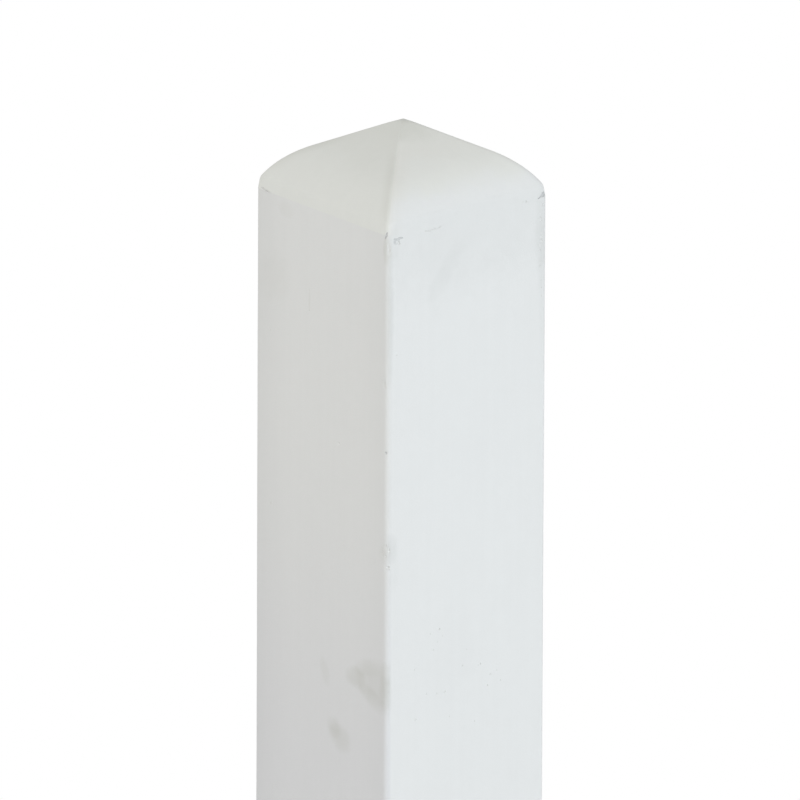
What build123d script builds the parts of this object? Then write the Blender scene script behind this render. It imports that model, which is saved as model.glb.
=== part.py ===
from build123d import *
import os
from math import cos, radians, sin, tan

# Square cast post with a domed four-sided head, one solid.
# Millimetres, +Z up. The origin is the middle of the foot, and the faces are square to X and Y.

# Shaft
SECTION = 100.0         # across two opposite flat faces
LENGTH = 1800.0         # foot to the top of the head
EDGE_RADIUS = 3.0       # easing of the four long edges and of the head's four hips

# Head, with the same profile on all four sides. A lean is in degrees inwards from upright.
EAVE_LEAN = 7.0         # where the head leaves the flat face, which makes the faint eave line
EAVE_BAND = 4.3         # height of the straight band above that line
LIP_RADIUS = 6.0        # tight bend above the band
LIP_LEAN = 33.5         # where the bend passes into the shoulder
SHOULDER_RADIUS = 43.5  # wide curve between the bend and the slope
SLOPE_LEAN = 64.0       # straight slope up to the crown
CROWN_RADIUS = 10.8     # blunting where opposite slopes meet


def curve_width(radius, low_lean, high_lean):
    """How far a curve comes in between two leans."""
    return radius * (cos(radians(low_lean)) - cos(radians(high_lean)))


def curve_rise(radius, low_lean, high_lean):
    """How far a curve climbs between two leans."""
    return radius * (sin(radians(high_lean)) - sin(radians(low_lean)))


# Places on the elevation, which is drawn across the post and up it, from the eave inwards
face = SECTION / 2
band_across = face - EAVE_BAND * tan(radians(EAVE_LEAN))
lip_across = band_across - curve_width(LIP_RADIUS, EAVE_LEAN, LIP_LEAN)
shoulder_across = lip_across - curve_width(SHOULDER_RADIUS, LIP_LEAN, SLOPE_LEAN)
crown_across = CROWN_RADIUS * cos(radians(SLOPE_LEAN))
slope_rise = (shoulder_across - crown_across) / tan(radians(SLOPE_LEAN))

# Heights, from the top of the head downwards
crown_height = LENGTH - CROWN_RADIUS * (1 - sin(radians(SLOPE_LEAN)))
shoulder_height = crown_height - slope_rise
lip_height = shoulder_height - curve_rise(SHOULDER_RADIUS, LIP_LEAN, SLOPE_LEAN)
band_height = lip_height - curve_rise(LIP_RADIUS, EAVE_LEAN, LIP_LEAN)
eave_height = band_height - EAVE_BAND


def head_side(side):
    """Band, lip, shoulder and slope of the elevation on one side, +1 or -1, from the eave to the crown."""
    eave = (side * face, eave_height)
    band_top = (side * band_across, band_height)
    lip_top = (side * lip_across, lip_height)
    shoulder_top = (side * shoulder_across, shoulder_height)
    crown_end = (side * crown_across, crown_height)

    def heading(lean):
        return (-side * sin(radians(lean)), cos(radians(lean)))

    band = Line(eave, band_top)
    lip = TangentArc(band_top, lip_top, tangent=heading(EAVE_LEAN))
    shoulder = TangentArc(lip_top, shoulder_top, tangent=heading(LIP_LEAN))
    slope = Line(shoulder_top, crown_end)
    return [band, lip, shoulder, slope]


def elevation():
    """The post's outline seen square on to a face, with the head's profile at the top."""
    crown = ThreePointArc((-crown_across, crown_height), (0, LENGTH), (crown_across, crown_height))
    shaft = Polyline((-face, eave_height), (-face, 0), (face, 0), (face, eave_height))
    return make_face([crown, shaft] + head_side(-1) + head_side(1))


def eased_edges(sharp):
    """The long edges of the shaft, and the hips that climb from its corners to the crown."""
    long_edges = sharp.edges().filter_by(Axis.Z)
    on_head = sharp.edges().filter_by_position(Axis.Z, eave_height, crown_height, inclusive=(False, False))
    hips = on_head - on_head.filter_by(Axis.X) - on_head.filter_by(Axis.Y)
    return long_edges + hips


def post():
    """The same elevation in both directions, with the long edges and the hips eased."""
    across_x = extrude(Plane.XZ * elevation(), face, both=True)
    sharp = across_x & across_x.rotate(Axis.Z, 90)
    return fillet(eased_edges(sharp), EDGE_RADIUS)


os.makedirs("parts", exist_ok=True)
export_step(post(), "parts/post.step")
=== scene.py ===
import math
import random

import bmesh
import bpy
from mathutils import Matrix, Vector


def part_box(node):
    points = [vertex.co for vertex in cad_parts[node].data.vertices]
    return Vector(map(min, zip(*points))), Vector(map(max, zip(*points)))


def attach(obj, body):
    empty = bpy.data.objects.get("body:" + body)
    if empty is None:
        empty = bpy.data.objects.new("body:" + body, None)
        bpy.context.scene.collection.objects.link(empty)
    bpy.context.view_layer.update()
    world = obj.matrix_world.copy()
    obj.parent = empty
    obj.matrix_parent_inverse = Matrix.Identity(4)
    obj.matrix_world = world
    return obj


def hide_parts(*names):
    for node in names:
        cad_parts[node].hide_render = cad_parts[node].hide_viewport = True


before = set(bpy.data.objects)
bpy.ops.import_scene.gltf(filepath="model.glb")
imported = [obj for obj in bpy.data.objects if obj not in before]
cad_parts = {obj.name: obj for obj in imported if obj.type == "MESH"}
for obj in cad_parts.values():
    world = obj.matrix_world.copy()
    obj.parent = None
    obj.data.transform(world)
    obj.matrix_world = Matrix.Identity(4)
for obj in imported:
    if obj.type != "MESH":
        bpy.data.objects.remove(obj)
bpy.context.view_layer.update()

# Sizes in metres. The shaft's come from the frame, and the head repeats the part's own profile.
# A lean is in degrees inwards from upright.
MM = 0.001
foot_corner, top_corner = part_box("post")
FACE = top_corner.x                 # axis to a flat face
LENGTH = top_corner.z               # foot to the top of the head
EDGE_RADIUS = 3.0 * MM              # easing of the long edges
EAVE_LEAN = 7.0                     # where the head leaves the flat face
EAVE_BAND = 4.3 * MM                # height of the straight band above the eave
LIP_RADIUS = 6.0 * MM               # tight bend above the band
LIP_LEAN = 33.5                     # where the bend passes into the shoulder
SHOULDER_RADIUS = 43.5 * MM
SLOPE_LEAN = 64.0
CROWN_RADIUS = 10.8 * MM
FOOT_EASE = 0.8 * MM                # wear on the rim of the foot

# How finely the casting is divided
LIP_STEPS = 6
SHOULDER_STEPS = 9
SLOPE_STEPS = 7
CROWN_STEPS = 4
EDGE_STEPS = 4
FOOT_STEPS = 2
COLUMNS = 26                        # across each face
FINE_LENGTH = 420 * MM              # upper stretch that has short rows
FINE_ROWS = 104
COARSE_ROWS = 56
EAVE_LIP = 0.8 * MM                 # close row that keeps the eave crisp
SMOOTH_ANGLE = 32.0                 # degrees, above which an edge stays sharp

# Shares of a length that count as being along an axis, for an edge and for a face's normal
PARALLEL = 0.999
FACING = 0.9

# Unevenness left by the mould, always inwards from the true face
MOULD_WAVE = 0.25 * MM
MOULD_WAVE_LENGTH = 110 * MM
MOULD_RIPPLE = 0.06 * MM
MOULD_RIPPLE_LENGTH = 22 * MM

# The photograph's frame and where the post stands in it
PHOTO_PIXELS = 800
PIXELS_PER_METRE = 2080.0
EAVE_CENTRE_PIXEL = (401.8, 191.6)
VIEW_AZIMUTH = -40.0
VIEW_ELEVATION = 18.3
VIEW_ROLL = 0.26
LENS = 1500.0                       # millimetres, long enough to keep the shaft's sides parallel
SENSOR = 36.0
FAR_CLIP = 4                        # times the camera's distance


def alone(obj):
    """Makes one object the only one selected, and the active one."""
    bpy.ops.object.select_all(action="DESELECT")
    obj.select_set(True)
    bpy.context.view_layer.objects.active = obj


def pick(obj, kind, wanted):
    """In edit mode, selects the vertices, edges or faces that the test wants."""
    bpy.ops.mesh.select_mode(type=kind)
    bpy.ops.mesh.select_all(action="DESELECT")
    mesh = bmesh.from_edit_mesh(obj.data)
    for element in {"VERT": mesh.verts, "EDGE": mesh.edges, "FACE": mesh.faces}[kind]:
        if wanted(element):
            element.select_set(True)
    mesh.select_flush_mode()
    bmesh.update_edit_mesh(obj.data)


def apply(obj, kind, **settings):
    """Adds a modifier with these settings to the object and applies it."""
    alone(obj)
    modifier = obj.modifiers.new(kind.lower(), kind)
    for name, value in settings.items():
        setattr(modifier, name, value)
    bpy.ops.object.modifier_apply(modifier=modifier.name)


def curve(start, radius, low_lean, high_lean, steps):
    """Points along a curve of the profile that leans in further as it climbs from its start."""
    low = math.radians(low_lean)
    points = []
    for step in range(1, steps + 1):
        lean = math.radians(low_lean + (high_lean - low_lean) * step / steps)
        inwards = radius * (math.cos(low) - math.cos(lean))
        points.append((start[0] - inwards, start[1] + radius * (math.sin(lean) - math.sin(low))))
    return points


def head_profile():
    """Half widths and heights above the eave of the head's rings, from the eave to the crown's top."""
    points = [(FACE, 0), (FACE - EAVE_BAND * math.tan(math.radians(EAVE_LEAN)), EAVE_BAND)]
    points += curve(points[-1], LIP_RADIUS, EAVE_LEAN, LIP_LEAN, LIP_STEPS)
    points += curve(points[-1], SHOULDER_RADIUS, LIP_LEAN, SLOPE_LEAN, SHOULDER_STEPS)
    across, height = points[-1]
    pitch = math.radians(90 - SLOPE_LEAN)
    run = across - CROWN_RADIUS * math.sin(pitch)
    for step in range(1, SLOPE_STEPS + 1):
        along = run * step / SLOPE_STEPS
        points.append((across - along, height + along * math.tan(pitch)))
    return points + curve(points[-1], CROWN_RADIUS, SLOPE_LEAN, 90, CROWN_STEPS)


HEAD = head_profile()
EAVE = LENGTH - HEAD[-1][1]


def climb(rings):
    """Extrudes the picked top face through the head's rings and closes it at the crown."""
    for (wide, low), (narrow, high) in zip(rings, rings[1:-1]):
        bpy.ops.mesh.extrude_region_move(TRANSFORM_OT_translate={"value": (0, 0, high - low)})
        taper = narrow / wide
        bpy.ops.transform.resize(value=(taper, taper, 1), center_override=(0, 0, EAVE + high))
    bpy.ops.mesh.extrude_region_move(TRANSFORM_OT_translate={"value": (0, 0, rings[-1][1] - rings[-2][1])})
    bpy.ops.mesh.merge(type="CENTER")


def runs_along(edge, axis):
    """True where an edge is parallel to axis 0, 1 or 2."""
    way = edge.verts[1].co - edge.verts[0].co
    return abs(way[axis]) > PARALLEL * way.length


def casting_blank():
    """The plain casting: shaft with eased edges, and the head climbing from its top in rings."""
    bpy.ops.object.select_all(action="DESELECT")
    bpy.ops.mesh.primitive_cube_add(size=1, location=(0, 0, EAVE / 2))
    post = bpy.context.object
    post.name = "post_casting"
    post.scale = (2 * FACE, 2 * FACE, EAVE)
    bpy.ops.object.transform_apply(location=True, rotation=True, scale=True)
    bpy.ops.object.mode_set(mode="EDIT")
    pick(post, "EDGE", lambda edge: runs_along(edge, 2))
    bpy.ops.mesh.bevel(offset=EDGE_RADIUS, segments=EDGE_STEPS, affect="EDGES")
    pick(post, "EDGE", lambda edge: all(vertex.co.z < MM for vertex in edge.verts))
    bpy.ops.mesh.bevel(offset=FOOT_EASE, segments=FOOT_STEPS, affect="EDGES")
    pick(post, "FACE", lambda face: face.normal.z > FACING)
    climb(HEAD)
    return post


def divide(post):
    """Divides the faces into columns and the shaft into rows, short ones near the head."""
    pick(post, "EDGE", lambda edge: runs_along(edge, 0) or runs_along(edge, 1))
    bpy.ops.mesh.subdivide(number_cuts=COLUMNS - 1)
    for height in (EAVE - FINE_LENGTH, EAVE - EAVE_LIP):
        bpy.ops.mesh.select_all(action="SELECT")
        bpy.ops.mesh.bisect(plane_co=(0, 0, height), plane_no=(0, 0, 1))
    pick(post, "EDGE", lambda edge: runs_along(edge, 2) and edge.calc_length() > FINE_LENGTH)
    bpy.ops.mesh.subdivide(number_cuts=COARSE_ROWS - 1)
    pick(post, "EDGE", lambda edge: runs_along(edge, 2) and edge.calc_length() > FINE_LENGTH / 2)
    bpy.ops.mesh.subdivide(number_cuts=FINE_ROWS - 1)
    bpy.ops.object.mode_set(mode="OBJECT")


def uneven(post):
    """Lets the faces wander in from true by a fraction of a millimetre, as a mould leaves them."""
    skin = post.vertex_groups.new(name="skin")
    above_foot = [vertex.index for vertex in post.data.vertices if vertex.co.z > 2 * FOOT_EASE]
    skin.add(above_foot, 1, "REPLACE")
    for name, depth, length in (
        ("mould_wave", MOULD_WAVE, MOULD_WAVE_LENGTH),
        ("mould_ripple", MOULD_RIPPLE, MOULD_RIPPLE_LENGTH),
    ):
        clouds = bpy.data.textures.new(name, "CLOUDS")
        clouds.noise_scale = length
        apply(
            post,
            "DISPLACE",
            texture=clouds,
            texture_coords="LOCAL",
            vertex_group="skin",
            strength=depth,
            mid_level=1,
        )
    post.vertex_groups.clear()
    apply(post, "TRIANGULATE")


# Damage, in millimetres. Places are across X, across Y and up from the eave.
FLAT = round(FACE / MM, 1)          # axis to a flat face

# Chips that show the broken inside: place, half sizes, turn in degrees
CHIPS = [
    ((-50.0, -48.2, 0.9), (0.9, 0.8, 3.4), (21, 0, 0)),         # wedge at the foot of the front hip
    ((-46.2, -50.1, -3.2), (0.9, 0.6, 1.8), (0, -12, 0)),       # ragged left and upper sides of the flake
    ((-42.6, -50.1, -2.2), (2.2, 0.6, 0.7), (0, 8, 0)),
    ((45.4, -50.0, 0.9), (2.4, 0.8, 0.8), (0, -24, 0)),         # corner at the right end of the eave
    ((47.2, -49.6, 1.5), (1.5, 1.1, 1.5), (0, -24, 0)),
    ((-49.8, -48.2, -109.6), (0.5, 0.9, 0.9), (0, 0, 30)),      # nick down the front edge
]

# Shallow scuffs, in the same way
SCUFFS = [
    ((-49.9, -49.7, -7.6), (1.6, 1.5, 6.3), (0, 0, 0)),         # worn edge below the wedge
    ((-43.9, -49.9, -4.2), (1.5, 0.7, 0.9), (0, 35, 0)),        # brighter lower side of the flake
    ((-25.4, -50.0, -2.1), (2.6, 0.5, 0.6), (0, 10, 0)),        # scrape along the eave
    ((-21.7, -50.0, -1.9), (2.2, 0.5, 0.6), (0, 4, 0)),
    ((-18.6, -50.0, -1.7), (2.1, 0.5, 0.6), (0, -13, 0)),
    ((-49.9, 42.2, 0.4), (0.6, 4.4, 0.5), (8, 0, 0)),           # groove at the far end of the left eave
    ((-50.0, -47.6, -75.4), (0.5, 1.3, 1.6), (0, 0, 0)),        # nicks down the front edge
    ((-50.0, -48.7, -157.0), (0.7, 1.2, 1.4), (0, 30, 0)),
    ((-50.0, -46.8, -160.3), (0.5, 1.2, 1.5), (0, 0, 0)),
    ((-50.2, -48.1, -162.2), (0.7, 1.3, 1.4), (0, 0, 40)),
    ((-48.8, -49.6, -158.9), (1.0, 0.6, 1.6), (0, 0, 0)),
    ((-49.2, -49.4, -167.7), (1.1, 0.9, 1.3), (0, 40, 0)),
]
RAGGED = 0.3                        # lumpiness of a chip, as a share of its smallest half size
CUTTER_STEPS = 2                    # how finely its cutter is divided

# The three-cornered flake below the eave: corners and deepest point across and up the front face
FLAKE_CORNERS = [(-46.8, -1.2), (-41.2, -2.3), (-45.5, -6.1)]
FLAKE_TIP = (-45.3, -2.7)
FLAKE_DEPTH = 0.7
FLAKE_PROUD = 0.5                   # how far its cutter stands out of the face


def from_eave(place):
    """Millimetres from the axis and the eave, in the frame's metres."""
    x, y, z = place
    return x * MM, y * MM, EAVE + z * MM


def bite(place, size, turn=(0, 0, 0), seed=0, ragged=RAGGED):
    """A small lumpy cutter for a chip or a hole."""
    bpy.ops.mesh.primitive_ico_sphere_add(
        subdivisions=CUTTER_STEPS,
        radius=1,
        location=from_eave(place),
        rotation=[math.radians(angle) for angle in turn],
    )
    cutter = bpy.context.object
    cutter.scale = [side * MM for side in size]
    bpy.ops.object.transform_apply(location=True, rotation=True, scale=True)
    bpy.ops.object.mode_set(mode="EDIT")
    bpy.ops.mesh.select_all(action="SELECT")
    bpy.ops.transform.vertex_random(offset=ragged * min(size) * MM, seed=seed)
    bpy.ops.object.mode_set(mode="OBJECT")
    return cutter


def bites(marks):
    """The cutters of a list of chips or scuffs."""
    return [bite(place, size, turn, seed) for seed, (place, size, turn) in enumerate(marks)]


def flake():
    """A three-sided cutter: steep on two sides, and coming out gently on the third."""
    bpy.ops.mesh.primitive_cone_add(vertices=3, radius1=1, radius2=0, depth=1, location=(0, 0, 0))
    cutter = bpy.context.object
    spread = (FLAKE_DEPTH + FLAKE_PROUD) / FLAKE_DEPTH
    for vertex, (across, up) in zip(cutter.data.vertices, FLAKE_CORNERS):
        across = FLAKE_TIP[0] + (across - FLAKE_TIP[0]) * spread
        up = FLAKE_TIP[1] + (up - FLAKE_TIP[1]) * spread
        vertex.co = from_eave((across, -FLAT - FLAKE_PROUD, up))
    cutter.data.vertices[-1].co = from_eave((FLAKE_TIP[0], FLAKE_DEPTH - FLAT, FLAKE_TIP[1]))
    bpy.ops.object.mode_set(mode="EDIT")
    bpy.ops.mesh.select_all(action="SELECT")
    bpy.ops.mesh.normals_make_consistent(inside=False)
    bpy.ops.object.mode_set(mode="OBJECT")
    return cutter


def cut(post, cutters, finish):
    """Takes the cutters out of the casting, and leaves their finish on the cut faces."""
    bpy.ops.object.select_all(action="DESELECT")
    for cutter in cutters:
        cutter.select_set(True)
    bpy.context.view_layer.objects.active = cutters[0]
    bpy.ops.object.join()
    tool = bpy.context.object
    tool.data.materials.clear()
    tool.data.materials.append(finish)
    apply(
        post,
        "BOOLEAN",
        operation="DIFFERENCE",
        solver="EXACT",
        object=tool,
        use_self=True,
        material_mode="TRANSFER",
    )
    bpy.data.objects.remove(tool)


# Air holes seen on the front face, across X, and specks on the left face, across Y. Both go on with
# up from the eave and radius.
FRONT_HOLES = [
    (-18.2, -211.6, 0.8), (-17.0, -205.3, 1.0), (-22.6, -206.6, 0.7), (-13.6, -237.9, 1.1),
    (-32.5, -222.8, 0.7), (-24.9, -236.5, 0.8), (-18.6, -237.8, 0.8), (-2.4, -227.0, 0.8),
    (0.1, -219.4, 0.7), (7.6, -229.1, 0.7), (8.9, -228.4, 0.8), (15.2, -235.2, 0.9),
    (19.0, -234.0, 0.7), (21.5, -239.6, 0.7), (13.4, -240.4, 0.8), (-31.7, -248.3, 1.0),
    (-10.4, -251.2, 0.7), (-20.7, -215.1, 0.8), (-15.1, -209.2, 0.7), (5.3, -257.0, 0.7),
    (-44.6, -60.8, 0.6), (34.2, 0.4, 0.8), (36.0, 0.1, 1.1),
    # the pitted right edge
    (46.0, -3.4, 1.1), (45.8, -7.2, 1.0), (45.2, -9.8, 1.0), (45.6, -11.6, 1.0), (45.9, -17.6, 1.0),
    (45.9, -19.8, 1.2), (46.0, -21.9, 1.4), (45.2, -23.6, 1.2), (45.0, -26.2, 1.0), (45.4, -32.4, 1.0),
    (44.8, -34.3, 1.3), (45.8, -41.6, 0.8), (46.0, -45.4, 0.8), (46.0, -49.8, 0.8),
]
LEFT_SPECKS = [
    (9.3, -42.0, 0.5), (9.2, -52.1, 0.6), (38.3, -69.7, 0.7), (-13.8, -113.5, 0.6),
    (37.6, -157.1, 0.7), (35.6, -301.9, 0.6), (26.6, -299.6, 0.6),
]

# Air holes of the faces and the length that the photograph leaves open
FRONT, RIGHT, BACK, LEFT = range(4)
HOLES_PER_FACE = 14
HOLE_RADII = (0.6, 1.2)
HOLE_MARGIN = 8.0                   # from a face's edges, its foot and the eave
HOLE_LIFT = 0.55                    # share of its radius that a hole's middle lies outside the skin
HOLE_RAGGED = 0.15
HOLE_SEED = 7


def hole(face, across, up, radius, seed):
    """A shallow round air hole: across runs to the right as one looks at the face."""
    out = FLAT + HOLE_LIFT * radius
    x, y = [(across, -out), (out, across), (-across, out), (-out, -across)][face]
    return bite((x, y, up), (radius, radius, radius), seed=seed, ragged=HOLE_RAGGED)


def air_holes():
    """The air holes that show, and a scatter over what the photograph leaves open."""
    holes = []
    for seed, (across, up, radius) in enumerate(FRONT_HOLES):
        holes.append(hole(FRONT, across, up, radius, seed))
    for seed, (across, up, radius) in enumerate(LEFT_SPECKS):
        holes.append(hole(LEFT, -across, up, radius, seed))
    draw = random.Random(HOLE_SEED)
    lowest = HOLE_MARGIN - EAVE / MM
    for face in (FRONT, RIGHT, BACK, LEFT):
        highest = -HOLE_MARGIN if face in (RIGHT, BACK) else -FINE_LENGTH / MM
        for seed in range(HOLES_PER_FACE):
            across = draw.uniform(HOLE_MARGIN - FLAT, FLAT - HOLE_MARGIN)
            holes.append(hole(face, across, draw.uniform(lowest, highest), draw.uniform(*HOLE_RADII), seed))
    return holes


def damage(post):
    """Cuts the chips, which show the broken inside, and then the scuffs and the air holes."""
    cut(post, bites(CHIPS) + [flake()], gritty_concrete("broken_concrete", **BROKEN))
    cut(post, bites(SCUFFS) + air_holes(), gritty_concrete("scuffed_concrete", **SCUFFED))


class Term:
    """A value inside a material: arithmetic on it adds Math nodes."""

    def __init__(self, finish, socket):
        self.finish = finish
        self.socket = socket

    def maths(self, operation, *values):
        return self.finish.node("ShaderNodeMath", {"operation": operation}, dict(enumerate(values)))

    def __add__(self, other):
        return self.maths("ADD", self, other)

    def __sub__(self, other):
        return self.maths("SUBTRACT", self, other)

    def __rsub__(self, other):
        return self.maths("SUBTRACT", other, self)

    def __mul__(self, other):
        return self.maths("MULTIPLY", self, other)

    def __neg__(self):
        return self.maths("MULTIPLY", self, -1)

    def __abs__(self):
        return self.maths("ABSOLUTE", self)

    __radd__ = __add__
    __rmul__ = __mul__


class Finish:
    """A material or the world under construction, and short words for its nodes."""

    def __init__(self, owner):
        owner.use_nodes = True
        self.owner = owner
        self.tree = owner.node_tree
        self.tree.nodes.clear()

    def node(self, kind, settings=None, sockets=None, out=0):
        """Adds a node: its settings first, then the values or links of its sockets."""
        made = self.tree.nodes.new(kind)
        for name, value in (settings or {}).items():
            setattr(made, name, value)
        for name, value in (sockets or {}).items():
            socket = made.inputs[name]
            if isinstance(value, Term):
                self.tree.links.new(value.socket, socket)
            elif socket.type == "RGBA":
                socket.default_value = (*value, 1)
            else:
                socket.default_value = value
        if made.outputs:
            return Term(self, made.outputs[out])

    def place(self):
        """Object coordinates, in metres."""
        return self.node("ShaderNodeTexCoord", out="Object")

    def from_eave(self):
        """Millimetres across X, across Y and up from the eave."""
        sockets = {
            "Vector": self.place(),
            "Location": (0, 0, -EAVE / MM),
            "Scale": (1 / MM, 1 / MM, 1 / MM),
        }
        vector = self.node("ShaderNodeMapping", None, sockets)
        return [self.node("ShaderNodeSeparateXYZ", None, {0: vector}, out=axis) for axis in range(3)]

    def noise(self, scale, detail=3.0, stretch=(1, 1, 1)):
        """Noise about 0 with this many waves to the metre, stretched along the axes."""
        vector = self.node("ShaderNodeMapping", None, {"Vector": self.place(), "Scale": stretch})
        sockets = {"Vector": vector, "Scale": scale, "Detail": detail}
        return self.node("ShaderNodeTexNoise", None, sockets) - 0.5

    def ramp(self, value, low, high):
        """Smooth step from 0 at low to 1 at high."""
        sockets = {"Value": value, "From Min": low, "From Max": high}
        return self.node("ShaderNodeMapRange", {"interpolation_type": "SMOOTHSTEP"}, sockets)

    def patch(self, across, up, middle, half, turn=0, ragged=0):
        """A soft-edged oval, 1 in its middle: its place, half sizes and turn in degrees."""
        cos, sin = math.cos(math.radians(turn)), math.sin(math.radians(turn))
        over, above = across - middle[0], up - middle[1]
        along = (over * cos + above * sin) * (1 / half[0])
        beside = (above * cos - over * sin) * (1 / half[1])
        return 1 - self.ramp(along * along + beside * beside + ragged, 0, 1)

    def blend(self, amount, first, second):
        """Colour from the first to the second by an amount from 0 to 1."""
        # A Mix node takes its two colours in sockets 6 and 7 and gives theirs out of socket 2
        return self.node("ShaderNodeMix", {"data_type": "RGBA"}, {0: amount, 6: first, 7: second}, out=2)

    def shade(self, colour, amount):
        """A colour made lighter or darker by an amount near 1."""
        sockets = {"Vector": colour, "Scale": amount}
        return self.node("ShaderNodeVectorMath", {"operation": "SCALE"}, sockets)

    def background_ray(self):
        """1 for the rays that show the background: the camera's own, mirrored and let through."""
        names = ("Is Camera Ray", "Is Glossy Ray", "Is Transmission Ray")
        first, second, third = [self.node("ShaderNodeLightPath", out=name) for name in names]
        return first + second + third

    def matt(self, colour, roughness, height):
        """Ends a material in a matt surface with a relief in millimetres, and gives it back."""
        relief = self.node("ShaderNodeBump", None, {"Height": height, "Strength": 1.0, "Distance": MM})
        sockets = {"Base Color": colour, "Roughness": roughness, "Normal": relief}
        self.node("ShaderNodeOutputMaterial", None, {
            "Surface": self.node("ShaderNodeBsdfPrincipled", None, sockets),
        })
        return self.owner


def new_material(name):
    """An empty material under construction."""
    return Finish(bpy.data.materials.new(name))


# Colours of the casting
WHITE = (0.790, 0.797, 0.792)
FILM = (0.802, 0.815, 0.788)        # yellowish weathering on the head
TAN = (0.735, 0.720, 0.675)         # warmer tint of that film on the front slope
GRIME_AND_SHADE = (0.600, 0.605, 0.550)       # olive dirt at the crown and on the upper left slope, and painted shade along the left slope's hips
STAIN = (0.600, 0.607, 0.555)       # damp stains on the left face
COOL = (0.573, 0.570, 0.670)        # greyer stretch low on the left face
GREY = (0.600, 0.612, 0.600)        # rubbed grey marks on the front face, and painted shade in a broad band at its top

# The inside of a chip, and the scuffs and air holes. Relief is in millimetres.
BROKEN = {"colour": (0.640, 0.650, 0.650), "contrast": 0.35, "roughness": 0.95, "relief": 0.25}
SCUFFED = {"colour": (0.735, 0.740, 0.730), "contrast": 0.2, "roughness": 0.9, "relief": 0.1}

# Noises of the concrete, in waves to the metre
CLOUD_WAVES = 13
MOTTLE_WAVES = 60
CRUMB_WAVES = 190
GRAIN_WAVES = 1300
GRIT_WAVES = 900                    # where the skin is gone
STREAK_WAVES = (240, 240, 6)        # drawn out along the post
SKIN_ROUGHNESS = 0.78

# Where the marks of the faces set in and where they are full, in millimetres out from the axis
LEFT_REACH = (46.5, 48.5)
FRONT_REACH = (48.0, 49.4)
SEAM = 0.4                          # half width of the change at the eave and at the hips

# The same for the weathering of the head, and for the painted shade along the left slope's hips. Heights
# are up from the eave, and widths across from a hip.
FILM_HEIGHTS = (9, 19)
TAN_HEIGHTS = (21, 28)
TAN_WIDTHS = (0, 12)
CROWN_FOOT_HEIGHTS = (22, 31)       # where the marks along the hips give way to the crown's
CROWN_HEIGHTS = (29, 34.5)
CROWN_HALO_HEIGHTS = (20, 34)
UPPER_HEIGHTS = (17, 31)
FRONT_HIP_HEIGHTS = (0, 12)
BACK_HIP_HEIGHTS = (7, 18)
HIP_WIDTHS = (1, 9)

# Strengths of that weathering, and of the painted shade along the hips
FILM_TAN = 0.30
UPPER_TAN = 0.20
HIP_TAN = 0.25
CROWN_GRIME = 0.36
CROWN_HALO_GRIME = 0.06
UPPER_GRIME = 0.15
# Painted shade along the left slope's front and back hips
FRONT_HIP_SHADE = 0.27
BACK_HIP_SHADE = 0.22
CROWN_OVERLAP = 0.8                 # share of the crown's grime that the left slope's own makes room for

# The left face: where it turns greyer, down from the eave, and duller, out from the middle
COOL_DEPTHS = (100, 300)
COOL_AMOUNT = 0.2
BACK_EDGE = (20, 50)
BACK_EDGE_DULLNESS = 0.045
FRONT_EDGE = (26, 52)
FRONT_EDGE_DULLNESS = 0.03

# Stains of the left face: across Y and up from the eave, half sizes, turn, strength
LEFT_STAINS = [
    # the three-cornered stain at the front edge: blob, lower side, front side, upper side, middle
    ((-26.5, -229.0), (8.5, 6.5), 0, 0.36),
    ((-39.0, -236.5), (13.5, 5.5), 25, 0.26),
    ((-48.5, -229.0), (5.0, 14.5), 0, 0.36),
    ((-38.0, -221.0), (15.0, 5.5), -17, 0.16),
    ((-40.0, -228.5), (15.0, 12.0), 0, 0.30),
    # the oval stain below it
    ((-10.5, -258.5), (6.5, 7.0), 0, 0.26),
    ((-15.0, -262.5), (10.5, 8.0), 32, 0.36),
    # faint marks
    ((-3.2, -232.0), (4.0, 9.0), -19, 0.18),
    ((26.9, -5.5), (7.0, 5.0), 0, 0.09),
    ((36.0, -41.0), (14.0, 17.0), 40, 0.10),
    ((9.2, -47.0), (0.9, 7.0), 0, 0.18),
    ((-47.8, -7.5), (2.6, 9.0), 0, 0.30),
    ((-47.5, -161.0), (4.5, 6.0), 0, 0.14),
]

# Marks of the front face, in the same way; the broad band at its top is painted shade
FRONT_MARKS_AND_SHADE = [
    ((-15.0, -26.0), (21.0, 6.5), 52, 0.12),
    ((46.5, -18.0), (5.5, 30.0), 0, 0.26),
    ((47.5, -40.0), (4.0, 50.0), 0, 0.14),
    # painted shade: a broad band that darkens the top of the front face
    ((0.0, 4.0), (90.0, 52.0), 0, 0.17),
    ((-47.0, -5.0), (4.5, 10.0), 0, 0.12),
    ((-49.0, -40.0), (3.5, 42.0), 0, 0.30),
    ((-47.5, -158.5), (5.0, 9.0), 0, 0.22),
    ((-46.5, -168.0), (5.0, 14.0), 0, 0.10),
    ((-14.0, -222.0), (26.0, 34.0), 0, 0.035),
]


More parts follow.
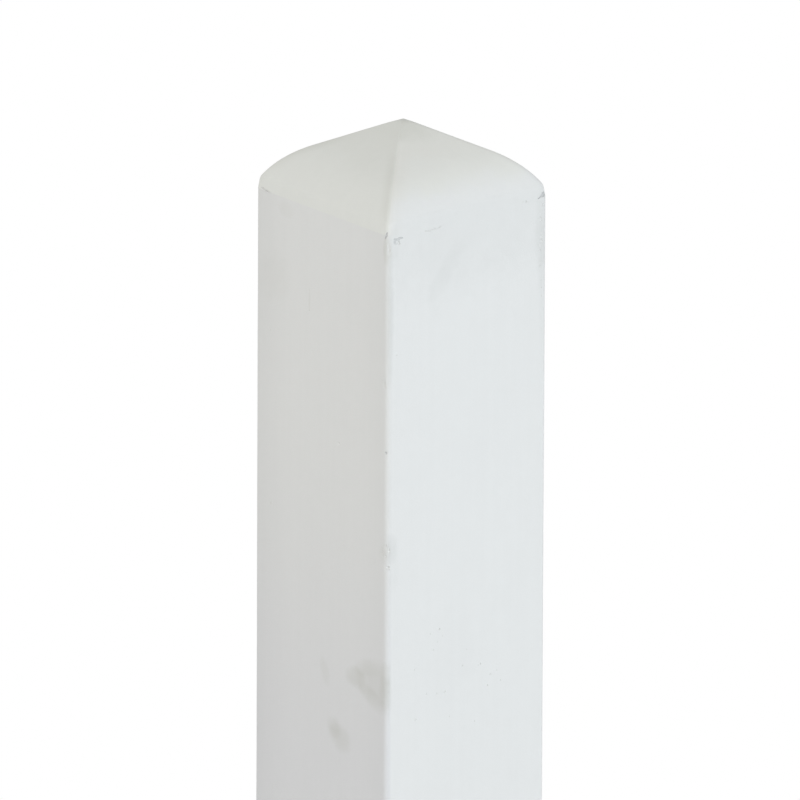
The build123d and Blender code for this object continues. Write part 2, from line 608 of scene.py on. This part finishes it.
def weathered_concrete_with_painted_shade():
    """Smooth cast skin: clouding, streaks down the mould, weathering on the head, stains and grain, with
    painted shade along the left slope's hips and across the top of the front face.
    """
    finish = new_material("weathered_concrete_with_painted_shade")
    x, y, z = finish.from_eave()
    cloud = finish.noise(CLOUD_WAVES)
    mottle = finish.noise(MOTTLE_WAVES)
    crumb = finish.noise(CRUMB_WAVES, detail=4)
    streak = finish.noise(1, detail=4, stretch=STREAK_WAVES)
    grain = finish.noise(GRAIN_WAVES, detail=2)

    on_left = finish.ramp(-x, *LEFT_REACH)
    on_front = finish.ramp(-y, *FRONT_REACH)
    on_head = finish.ramp(z, -SEAM, SEAM)
    left_slope = finish.ramp(-x - abs(y), -SEAM, SEAM) * on_head
    front_slope = finish.ramp(-y - abs(x), -SEAM, SEAM) * on_head

    # The film starts at the eave on the left slope, and higher up on the others. Here and below, a
    # noise added to a place makes an edge wander, by up to half its number in millimetres.
    film = finish.ramp(z + crumb * 4 + mottle * 10, *FILM_HEIGHTS)
    film = film + (1 - film) * left_slope
    colour = finish.blend(film, WHITE, FILM)
    below_crown = 1 - finish.ramp(z, *CROWN_FOOT_HEIGHTS)
    tint = film * FILM_TAN + finish.ramp(z + mottle * 8, *TAN_HEIGHTS) * UPPER_TAN
    tint = tint + (1 - finish.ramp(x - y, *TAN_WIDTHS)) * below_crown * HIP_TAN
    colour = finish.blend(tint * front_slope, colour, TAN)

    # Grime gathers at the crown and on the upper left slope; along that slope's two hips the same colour is
    # painted shade
    crown = finish.ramp(z + mottle * 9, *CROWN_HEIGHTS) * CROWN_GRIME
    crown = crown + finish.ramp(z + mottle * 14, *CROWN_HALO_HEIGHTS) * CROWN_HALO_GRIME
    upper = finish.ramp(z + mottle * 14 + cloud * 10, *UPPER_HEIGHTS) * UPPER_GRIME
    # Painted shade beside the left slope's two hips, fading out towards the crown
    front_hip = (1 - finish.ramp(y - x, *HIP_WIDTHS)) * finish.ramp(z + mottle * 8, *FRONT_HIP_HEIGHTS)
    back_hip = (1 - finish.ramp(-y - x, *HIP_WIDTHS)) * finish.ramp(z + mottle * 14, *BACK_HIP_HEIGHTS)
    hips = front_hip * FRONT_HIP_SHADE + back_hip * BACK_HIP_SHADE
    grime_and_shade = hips * below_crown + upper - crown * CROWN_OVERLAP
    colour = finish.blend(left_slope * grime_and_shade + crown, colour, GRIME_AND_SHADE)

    ragged = crumb * 0.5 + mottle * 0.5
    # Stains on the left face; marks on the front face, with its band of painted shade at the top
    for side, across, marks, tone in ((on_left, y, LEFT_STAINS, STAIN), (on_front, x, FRONT_MARKS_AND_SHADE, GREY)):
        patches = 0
        for middle, half, turn, strength in marks:
            patches = finish.patch(across, z, middle, half, turn, ragged) * strength + patches
        colour = finish.blend(side * patches, colour, tone)

    # The left face is greyer low down, and duller towards its edges
    left_face = on_left * (1 - on_head)
    cool = left_face * finish.ramp(-z + cloud * 60, *COOL_DEPTHS) * COOL_AMOUNT
    colour = finish.blend(cool, colour, COOL)
    edges = finish.ramp(y + mottle * 12, *BACK_EDGE) * BACK_EDGE_DULLNESS
    edges = edges + finish.ramp(-y + mottle * 12, *FRONT_EDGE) * FRONT_EDGE_DULLNESS
    dull = left_face * edges

    # What each noise adds to the tone, to the roughness and, in millimetres, to the relief
    shade = 1 - dull + cloud * 0.03 + mottle * 0.02 + streak * 0.025 + crumb * 0.015 + grain * 0.03
    roughness = SKIN_ROUGHNESS + mottle * 0.1
    height = grain * 0.05 + crumb * 0.04 + streak * 0.02
    return finish.matt(finish.shade(colour, shade), roughness, height)


def gritty_concrete(name, colour, contrast, roughness, relief):
    """Concrete that has lost its smooth skin, so that its grit shows."""
    finish = new_material(name)
    grit = finish.noise(GRIT_WAVES, detail=4)
    tone = finish.shade(colour, 1 + grit * contrast)
    return finish.matt(tone, roughness + grit * 0.05, grit * relief)


# Studio. A lamp's level is what a white face turned straight to it would reach.
FLOOR_SIZE = 120.0
FLOOR_FADE = (1.2, 3.0)             # from a plain pale floor to white, metres from the foot
FLOOR_COLOUR = (0.86, 0.86, 0.86)
AMBIENT = 0.50
AMBIENT_COLOUR = (1.0, 0.995, 0.975)
LAMP_DISTANCE = 7.0
LAMP_SIZE = 4.2
LAMPS = [
    # name, azimuth, elevation, level, colour
    ("key", 8, 13, 0.445, (0.93, 1.0, 1.06)),
    ("fill", -95, 28, 0.296, (1.0, 0.985, 0.945)),
]


def floor():
    """A pale floor that keeps the shadow near the foot and goes white far away."""
    bpy.ops.object.select_all(action="DESELECT")
    bpy.ops.mesh.primitive_plane_add(size=FLOOR_SIZE, location=(0, 0, 0))
    plane = bpy.context.object
    plane.name = "floor"
    finish = new_material("pale_floor")
    away = finish.node("ShaderNodeVectorMath", {"operation": "LENGTH"}, {0: finish.place()}, out="Value")
    amount = finish.ramp(away, *FLOOR_FADE) * finish.background_ray()
    pale = finish.node("ShaderNodeBsdfDiffuse", None, {"Color": FLOOR_COLOUR})
    white = finish.node("ShaderNodeEmission", None, {"Color": (1, 1, 1), "Strength": 1.0})
    surface = finish.node("ShaderNodeMixShader", None, {0: amount, 1: pale, 2: white})
    finish.node("ShaderNodeOutputMaterial", None, {"Surface": surface})
    plane.data.materials.append(finish.owner)


def surround():
    """Even light from all round, and white behind."""
    world = bpy.data.worlds.new("studio")
    bpy.context.scene.world = world
    finish = Finish(world)
    even = finish.node("ShaderNodeBackground", None, {"Color": AMBIENT_COLOUR, "Strength": AMBIENT})
    white = finish.node("ShaderNodeBackground", None, {"Color": (1, 1, 1), "Strength": 1.0})
    surface = finish.node("ShaderNodeMixShader", None, {0: finish.background_ray(), 1: even, 2: white})
    finish.node("ShaderNodeOutputWorld", None, {"Surface": surface})


def towards(azimuth, elevation):
    """Unit vector from the post: azimuth 0 is to the front, and 90 to the right."""
    turn, climb_angle = math.radians(azimuth), math.radians(elevation)
    level = math.cos(climb_angle)
    return Vector((math.sin(turn) * level, -math.cos(turn) * level, math.sin(climb_angle)))


def lamp(name, azimuth, elevation, level, colour):
    """A large soft lamp, aimed at the head."""
    bpy.ops.object.light_add(type="AREA")
    light = bpy.context.object
    light.name = name
    way = towards(azimuth, elevation)
    light.location = Vector((0, 0, EAVE)) + way * LAMP_DISTANCE
    light.rotation_mode = "QUATERNION"
    light.rotation_quaternion = way.to_track_quat("Z", "Y")
    light.data.shape = "DISK"
    light.data.size = LAMP_SIZE
    light.data.energy = level * math.pi ** 2 * LAMP_DISTANCE ** 2
    light.data.color = colour


def camera():
    """A long lens at the photograph's angle, with the eave's middle on its pixel."""
    back = towards(VIEW_AZIMUTH, VIEW_ELEVATION)
    azimuth, roll = math.radians(VIEW_AZIMUTH), math.radians(VIEW_ROLL)
    level = Vector((math.cos(azimuth), math.sin(azimuth), 0))
    upright = back.cross(level)
    right = math.cos(roll) * level + math.sin(roll) * upright
    up = back.cross(right)
    across = (EAVE_CENTRE_PIXEL[0] - PHOTO_PIXELS / 2) / PIXELS_PER_METRE
    above = (PHOTO_PIXELS / 2 - EAVE_CENTRE_PIXEL[1]) / PIXELS_PER_METRE
    aim = Vector((0, 0, EAVE)) - across * right - above * up
    distance = PHOTO_PIXELS / PIXELS_PER_METRE * LENS / SENSOR
    data = bpy.data.cameras.new("camera")
    data.lens = LENS
    data.sensor_width = SENSOR
    data.clip_end = FAR_CLIP * distance
    view = bpy.data.objects.new("camera", data)
    bpy.context.scene.collection.objects.link(view)
    view.matrix_world = Matrix((right, up, back)).transposed().to_4x4()
    view.location = aim + distance * back
    bpy.context.scene.camera = view


post = casting_blank()
divide(post)
uneven(post)
post.data.materials.append(weathered_concrete_with_painted_shade())
damage(post)
alone(post)
bpy.ops.object.shade_smooth_by_angle(angle=math.radians(SMOOTH_ANGLE))
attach(post, "root")
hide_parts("post")

floor()
surround()
for settings in LAMPS:
    lamp(*settings)
camera()
bpy.context.scene.view_settings.view_transform = "Standard"
